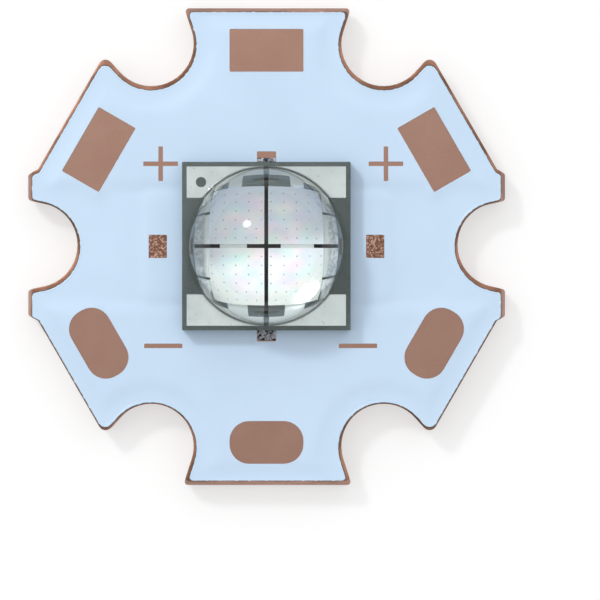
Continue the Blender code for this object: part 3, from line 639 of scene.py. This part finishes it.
def nitride_ceramic():
    """Aluminium nitride: dark green-grey, sintered, with a fine speckle.

    It is painted much darker in the narrow gaps between the chips, as the photograph shows: painted shade, as
    little light reaches them there. The silicone that wets its upper face takes away most of its gloss, so
    its IOR is that of the step between the two. Real sinter grains are finer than this speckle, which is as
    coarse as it needs to show.
    """
    material, tree, shader = new_finish("aluminium_nitride", {"IOR": 1.25, "Roughness": 0.45})
    place = add(tree, "ShaderNodeTexCoord").outputs["Object"]
    speckle = add(tree, "ShaderNodeTexNoise",
                  {"Vector": place, "Scale": per_mm(0.07), "Detail": 3.0}).outputs["Fac"]
    cloud = add(tree, "ShaderNodeTexNoise",
                {"Vector": place, "Scale": per_mm(1.2), "Detail": 2.0}).outputs["Fac"]
    mixed = add(tree, "ShaderNodeMath", {0: speckle, 1: cloud}, operation="ADD")
    shade = add(tree, "ShaderNodeMapRange", {"Value": mixed.outputs[0], "From Min": 0.7, "From Max": 1.3})
    colour = add(tree, "ShaderNodeValToRGB", {"Fac": shade.outputs[0]},
                 stops=((0.0, "#687573"), (1.0, "#7a8786"))).outputs["Color"]
    split = add(tree, "ShaderNodeSeparateXYZ", {0: place}).outputs
    aside, along = (add(tree, "ShaderNodeMath", {0: split[axis]}, operation="ABSOLUTE").outputs[0]
                    for axis in "XY")
    nearest = add(tree, "ShaderNodeMath", {0: aside, 1: along}, operation="MINIMUM").outputs[0]
    furthest = add(tree, "ShaderNodeMath", {0: aside, 1: along}, operation="MAXIMUM").outputs[0]
    # Painted shade: in the narrow gaps between the chips the ceramic is coloured nearly black, where little
    # light reaches.
    narrow = add(tree, "ShaderNodeMath", {0: nearest, 1: CHIP_GAP_HALF}, operation="LESS_THAN").outputs[0]
    short = add(tree, "ShaderNodeMath", {0: furthest, 1: CHIP_GAP_REACH}, operation="LESS_THAN").outputs[0]
    gap = add(tree, "ShaderNodeMath", {0: narrow, 1: short}, operation="MULTIPLY").outputs[0]
    colour = add(tree, "ShaderNodeMix",
                 {0: gap, 6: colour, 7: linear("#101415")}, data_type="RGBA").outputs["Result"]
    bump = add(tree, "ShaderNodeBump", {"Height": speckle, "Strength": 0.2, "Distance": 0.004 * MM})
    drive(tree, shader, Base_Color=colour, Normal=bump.outputs[0])
    return material


def silver_land():
    """Silver plating on the ceramic: pale, soft satin, with fine specks.

    Beside the chips, where the plating was bonded, it is crumpled and duller.
    """
    material, tree, shader = new_finish("silver_plating", {"Metallic": 1.0, "Roughness": 0.3})
    place = add(tree, "ShaderNodeTexCoord").outputs["Object"]
    cloud = add(tree, "ShaderNodeTexNoise",
                {"Vector": place, "Scale": per_mm(0.9), "Detail": 3.0}).outputs["Fac"]
    plain = add(tree, "ShaderNodeValToRGB", {"Fac": cloud},
                stops=((0.35, "#d6e0df"), (0.65, "#e1eae9"))).outputs["Color"]
    specks = add(tree, "ShaderNodeTexNoise",
                 {"Vector": place, "Scale": per_mm(0.11), "Detail": 1.0}).outputs["Fac"]
    speck = add(tree, "ShaderNodeMapRange", {"Value": specks, "From Min": 0.71, "From Max": 0.77})
    dotted = add(tree, "ShaderNodeMix",
                 {0: speck.outputs[0], 6: plain, 7: linear("#b4bebd")}, data_type="RGBA")
    split = add(tree, "ShaderNodeSeparateXYZ", {0: place}).outputs
    aside = add(tree, "ShaderNodeMath", {0: split["X"]}, operation="ABSOLUTE").outputs[0]
    plan = add(tree, "ShaderNodeMapping", {"Vector": place, "Scale": (1.0, 1.0, 0.0)}).outputs[0]
    reach = add(tree, "ShaderNodeVectorMath", {0: plan}, operation="LENGTH").outputs["Value"]
    beside = add(tree, "ShaderNodeMapRange",
                 {"Value": aside, "From Min": CRUMPLE_START,
                  "From Max": CRUMPLE_START + CRUMPLE_FADE}).outputs[0]
    near = add(tree, "ShaderNodeMapRange",
               {"Value": reach, "From Min": CRUMPLE_REACH,
                "From Max": CRUMPLE_REACH - CRUMPLE_FADE}).outputs[0]
    bonded = add(tree, "ShaderNodeMath", {0: beside, 1: near}, operation="MULTIPLY").outputs[0]
    folds = add(tree, "ShaderNodeTexNoise", {"Vector": place, "Scale": per_mm(0.22), "Detail": 2.0,
                                             "Distortion": 1.5}).outputs["Fac"]
    dull = add(tree, "ShaderNodeValToRGB", {"Fac": folds},
               stops=((0.35, "#a3aeb5"), (0.5, "#bcc7cc"), (0.65, "#d9e1e4"))).outputs["Color"]
    colour = add(tree, "ShaderNodeMix", {0: bonded, 6: dotted.outputs["Result"], 7: dull}, data_type="RGBA")
    depth = add(tree, "ShaderNodeMath", {0: bonded, 1: folds}, operation="MULTIPLY").outputs[0]
    bump = add(tree, "ShaderNodeBump", {"Height": depth, "Strength": 0.5, "Distance": 0.02 * MM})
    drive(tree, shader, Base_Color=colour.outputs["Result"], Normal=bump.outputs[0])
    return material


def thin_film_chip():
    """Thin-film chip: a mirror under a roughened clear layer, drawn as one soft tinted mirror.

    Its pale interference colours are soft patches where the light comes nearly straight through
    the dome, and fade towards the package's edge to one tone, cooler on the upper chips than on
    the lower.
    """
    material, tree, shader = new_finish("thin_film_chip", {"Metallic": 1.0, "Roughness": 0.16})
    place = add(tree, "ShaderNodeTexCoord").outputs["Object"]
    plan = add(tree, "ShaderNodeMapping", {"Vector": place, "Scale": (1.0, 1.0, 0.0)}).outputs[0]
    reach = add(tree, "ShaderNodeVectorMath", {0: plan}, operation="LENGTH").outputs["Value"]
    slanted = add(tree, "ShaderNodeMapping", {"Vector": plan, "Rotation": (0, 0, TINT_SLANT),
                                              "Scale": (1.0, 1.5, 1.0)}).outputs[0]
    film = add(tree, "ShaderNodeTexNoise",
               {"Vector": slanted, "Scale": per_mm(0.7), "Detail": 0.6}).outputs["Color"]
    tints = add(tree, "ShaderNodeMapRange", {"Vector": film, 7: (0.3, 0.3, 0.3), 8: (0.7, 0.7, 0.7),
                                             9: (0.74, 0.82, 0.91), 10: (0.99, 0.99, 1.0)},
                data_type="FLOAT_VECTOR").outputs["Vector"]
    fade = add(tree, "ShaderNodeMapRange",
               {"Value": reach, "From Min": TINT_FADE[0], "From Max": TINT_FADE[1]},
               interpolation_type="SMOOTHSTEP")
    up = add(tree, "ShaderNodeSeparateXYZ", {0: place}).outputs["Y"]
    cool = add(tree, "ShaderNodeMapRange",
               {"Value": up, "From Min": -COOL_HALF, "From Max": COOL_HALF}).outputs[0]
    rim = add(tree, "ShaderNodeMix", {0: cool, 6: linear("#e5eeeb"), 7: linear("#dceafc")}, data_type="RGBA")
    colour = add(tree, "ShaderNodeMix",
                 {0: fade.outputs[0], 6: tints, 7: rim.outputs["Result"]}, data_type="RGBA")
    drive(tree, shader, Base_Color=colour.outputs["Result"])
    return material


def clear_silicone():
    """Clear methyl silicone: no colour of its own, a soft-edged mirror of the room on its skin."""
    material, tree, shader = new_finish("clear_silicone", {"Transmission Weight": 1.0, "IOR": 1.46,
                                                           "Base Color": linear("#fbfdfc")})
    place = add(tree, "ShaderNodeTexCoord").outputs["Object"]
    skin = add(tree, "ShaderNodeTexNoise",
               {"Vector": place, "Scale": per_mm(0.8), "Detail": 2.0}).outputs["Fac"]
    rough = add(tree, "ShaderNodeMapRange", {"Value": skin, "To Min": 0.0, "To Max": 0.03})
    drive(tree, shader, Roughness=rough.outputs[0])
    return material


def via_metal():
    """Contact point on the chip: dull grey metal, seen as a fine grey dot."""
    material, tree, shader = new_finish("dull_via_metal", {"Metallic": 1.0, "Roughness": 0.5})
    place = add(tree, "ShaderNodeTexCoord").outputs["Object"]
    grain = add(tree, "ShaderNodeTexNoise", {"Vector": place, "Scale": per_mm(0.02)}).outputs["Fac"]
    colour = add(tree, "ShaderNodeValToRGB", {"Fac": grain},
                 stops=((0.3, "#c0c7cf"), (0.7, "#d0d6dc"))).outputs["Color"]
    drive(tree, shader, Base_Color=colour)
    return material


# Stage

def light_room():
    """White room that is brighter behind the object, and one small lamp at the upper left.

    The camera itself sees the room plain white.
    """
    scene = bpy.context.scene
    world = bpy.data.worlds.new("light_room")
    scene.world = world
    world.use_nodes = True
    tree = world.node_tree
    rays = add(tree, "ShaderNodeLightPath").outputs
    direction = add(tree, "ShaderNodeTexCoord").outputs["Generated"]
    split = add(tree, "ShaderNodeSeparateXYZ", {0: direction}).outputs
    bright_side = (math.cos(ROOM_AZIMUTH), math.sin(ROOM_AZIMUTH), 0.0)
    turned = add(tree, "ShaderNodeVectorMath", {0: direction, 1: bright_side}, operation="DOT_PRODUCT")
    behind = add(tree, "ShaderNodeMapRange",
                 {"Value": turned.outputs["Value"], "From Min": ROOM_TURN[0], "From Max": ROOM_TURN[1],
                  "To Min": ROOM_FRONT, "To Max": ROOM_BACK},
                 interpolation_type="SMOOTHSTEP")
    height = add(tree, "ShaderNodeMapRange", {"Value": split["Z"], "To Min": ROOM_FLOOR_LEVEL, "To Max": 1.0})
    tilt = add(tree, "ShaderNodeMath", {0: behind.outputs[0], 1: height.outputs[0]}, operation="MULTIPLY")
    shine = add(tree, "ShaderNodeMath", {0: rays["Is Glossy Ray"], 1: rays["Is Transmission Ray"]},
                operation="MAXIMUM")
    level = add(tree, "ShaderNodeMix", {0: shine.outputs[0], 2: ROOM_LIGHT, 3: 1.0})
    lit = add(tree, "ShaderNodeMath", {0: tilt.outputs[0], 1: level.outputs[0]}, operation="MULTIPLY")
    strength = add(tree, "ShaderNodeMix", {0: rays["Is Camera Ray"], 2: lit.outputs[0], 3: 1.0})
    background = tree.nodes["Background"]
    background.inputs["Color"].default_value = linear("#ffffff")
    tree.links.new(strength.outputs[0], background.inputs["Strength"])

    lamp = bpy.data.lights.new("key_lamp", "AREA")
    lamp.shape = "DISK"
    lamp.size = KEY_SIZE
    lamp.energy = KEY_LIGHT / KEY_MEAN * math.pi * math.pi * KEY_DISTANCE ** 2 / math.cos(KEY_ANGLE)
    lamp.use_nodes = True
    tree = lamp.node_tree
    place = add(tree, "ShaderNodeNewGeometry").outputs["Parametric"]
    centred = add(tree, "ShaderNodeMapping", {"Vector": place, "Location": (-1.0, -1.0, 0.0),
                                              "Scale": (2.0, 2.0, 0.0)}).outputs[0]
    reach = add(tree, "ShaderNodeVectorMath", {0: centred}, operation="LENGTH").outputs["Value"]
    left = add(tree, "ShaderNodeMapRange", {"Value": reach, "To Min": 1.0, "To Max": 0.0}).outputs[0]
    glow = add(tree, "ShaderNodeMath", {0: left, 1: KEY_FADE}, operation="POWER")
    tree.links.new(glow.outputs[0], tree.nodes["Emission"].inputs["Strength"])
    key = bpy.data.objects.new("key_lamp", lamp)
    heading = Vector((math.sin(KEY_ANGLE) * math.cos(KEY_AZIMUTH),
                      math.sin(KEY_ANGLE) * math.sin(KEY_AZIMUTH), math.cos(KEY_ANGLE)))
    key.location = Vector((0, 0, MASK_TOP)) + KEY_DISTANCE * heading
    key.rotation_euler = heading.to_track_quat("Z", "Y").to_euler()
    scene.collection.objects.link(key)


def white_floor():
    """Large pale sheet under the object, which shows white and keeps the object's shadow.

    It is clear from below, so that the underside can be looked at.
    """
    material = bpy.data.materials.new("white_sheet")
    material.use_nodes = True
    tree = material.node_tree
    tree.nodes.clear()
    rays = add(tree, "ShaderNodeLightPath").outputs
    seen = add(tree, "ShaderNodeMath",
               {0: rays["Is Camera Ray"], 1: rays["Is Glossy Ray"]}, operation="MAXIMUM")
    seen = add(tree, "ShaderNodeMath",
               {0: seen.outputs[0], 1: rays["Is Transmission Ray"]}, operation="MAXIMUM")
    matt = add(tree, "ShaderNodeBsdfDiffuse", {"Color": (*[FLOOR_ALBEDO] * 3, 1.0)})
    matt_seen = add(tree, "ShaderNodeBsdfDiffuse", {"Color": (*[FLOOR_ALBEDO_SEEN] * 3, 1.0)})
    glow = add(tree, "ShaderNodeEmission", {"Color": linear("#ffffff"), "Strength": FLOOR_LIFT})
    lifted = add(tree, "ShaderNodeAddShader", {0: matt_seen.outputs[0], 1: glow.outputs[0]})
    shown = add(tree, "ShaderNodeMixShader", {0: seen.outputs[0], 1: matt.outputs[0], 2: lifted.outputs[0]})
    below = add(tree, "ShaderNodeNewGeometry").outputs["Backfacing"]
    clear = add(tree, "ShaderNodeBsdfTransparent")
    sheet = add(tree, "ShaderNodeMixShader", {0: below, 1: shown.outputs[0], 2: clear.outputs[0]})
    add(tree, "ShaderNodeOutputMaterial", {"Surface": sheet.outputs[0]})
    data = bpy.data.meshes.new("white_floor")
    signs = ((-1, -1), (1, -1), (1, 1), (-1, 1))
    corners = [(x * FLOOR_HALF, y * FLOOR_HALF, -FLOOR_DROP) for x, y in signs]
    data.from_pydata(corners, [], [(0, 1, 2, 3)])
    data.materials.append(material)
    floor = bpy.data.objects.new("white_floor", data)
    bpy.context.scene.collection.objects.link(floor)


def place_camera():
    """Camera that looks straight down at the middle of the picture, framed as the photograph is."""
    right = (PHOTO_WIDTH / 2 - BOARD_CENTRE_PIXEL[0]) / PIXELS_PER_METRE
    down = (PHOTO_WIDTH / 2 - BOARD_CENTRE_PIXEL[1]) / PIXELS_PER_METRE
    data = bpy.data.cameras.new("photo_camera")
    data.sensor_width = SENSOR_WIDTH
    data.lens = SENSOR_WIDTH * PIXELS_PER_METRE * CAMERA_DISTANCE / PHOTO_WIDTH
    data.clip_start = 1 * MM
    camera = bpy.data.objects.new("photo_camera", data)
    camera.location = (right, -down, MASK_TOP + CAMERA_DISTANCE)
    bpy.context.scene.collection.objects.link(camera)
    bpy.context.scene.camera = camera


def dress(finishes):
    """Gives each CAD node the first finish whose word stands in the node's name."""
    for node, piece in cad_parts.items():
        material = next(finish for word, finish in finishes.items() if word in node)
        piece.data.materials.clear()
        piece.data.materials.append(material)


def main():
    bpy.context.scene.view_settings.view_transform = "Standard"
    place_camera()
    light_room()
    white_floor()
    copper, foil, mask = punched_copper(), bare_foil(), white_mask()
    silicone = clear_silicone()
    dress({"copper_core": copper, "dielectric": filled_epoxy(), "foil": foil, "solder_mask": mask,
           "solder": reflowed_solder(), "contact": plated_contact(), "ceramic": nitride_ceramic(),
           "land": silver_land(), "chip": thin_film_chip(), "lens": silicone})
    draped_mask(mask)
    mask_lips(mask)
    silicone_dome(silicone)
    chip_vias(via_metal())


main()
